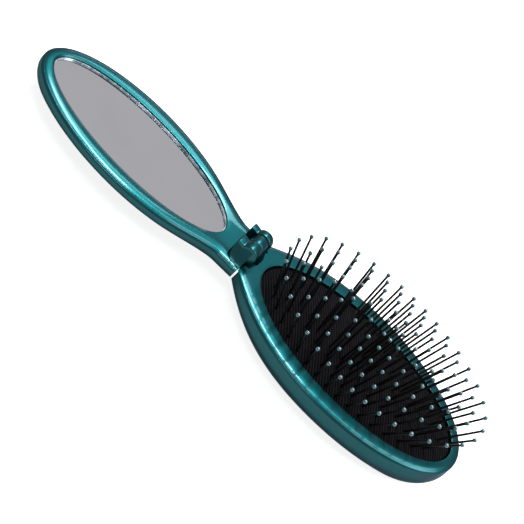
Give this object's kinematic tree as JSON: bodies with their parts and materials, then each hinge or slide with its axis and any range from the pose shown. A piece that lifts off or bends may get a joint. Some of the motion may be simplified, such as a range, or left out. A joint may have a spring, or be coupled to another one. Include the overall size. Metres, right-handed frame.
{
  "type": "folding hairbrush with mirror",
  "caption": "Folding pocket hairbrush: an oval cushion of ball-tipped pins in one half, an oval mirror in the other, joined by a waist hinge.",
  "frame": {"origin": "on the parting plane between the two halves and on the centre plane, level with the lowest point of the bristle half's back", "axes": "+X along the open brush towards the bristle half's tip, +Z towards the side of the bristles and the glass"},
  "size_m": [0.19, 0.063, 0.0321],
  "materials": {
    "pearl_teal": "metallic pearl moulded plastic",
    "black_plastic": "moulded",
    "black_rubber": "fine diagonal rib texture",
    "black_nylon": "smooth nylon",
    "teal_ball": "dipped ball tips",
    "mirror_glass": "silvered",
    "foam_tape": "closed foam tape",
    "spring_steel": "bright wire"
  },
  "bodies": {
    "head": {"head_front_frame": "pearl_teal", "head_back_shell": "pearl_teal", "tray_springs": "spring_steel"},
    "tray": {"bristle_tray": "black_plastic", "cushion": "black_rubber", "bristle_pins_ring_1": "black_nylon", "bristle_pins_ring_2": "black_nylon", "bristle_pins_ring_3": "black_nylon", "bristle_pins_ring_4": "black_nylon", "bristle_pins_ring_5": "black_nylon", "ball_tips_ring_1": "teal_ball", "ball_tips_ring_2": "teal_ball", "ball_tips_ring_3": "teal_ball", "ball_tips_ring_4": "teal_ball", "ball_tips_ring_5": "teal_ball"},
    "mirror": {"mirror_frame": "pearl_teal", "mirror_back_shell": "pearl_teal", "mirror_glass": "mirror_glass", "mirror_adhesive_pad": "foam_tape", "hinge_pin": "spring_steel"}
  },
  "joints": [
    {"name": "mirror_fold", "type": "hinge", "parent": "head", "child": "mirror", "pos_m": [-0.00134, 0, 0.01647], "axis": [0, 1, 0], "range_deg": [0, 180], "deforming": ["bristle_pins_ring_1", "bristle_pins_ring_2", "bristle_pins_ring_3", "bristle_pins_ring_4", "bristle_pins_ring_5", "ball_tips_ring_1", "ball_tips_ring_2", "ball_tips_ring_3", "ball_tips_ring_4", "ball_tips_ring_5"]},
    {"name": "tray_slide", "type": "slide", "parent": "head", "child": "tray", "axis": [0, 0, 1], "range_m": [-0.0045, 0], "deforming": ["tray_springs"]}
  ],
  "couplings": [
    {"joint": "tray_slide", "follows": "mirror_fold", "m_per_rad": -0.001432}
  ]
}
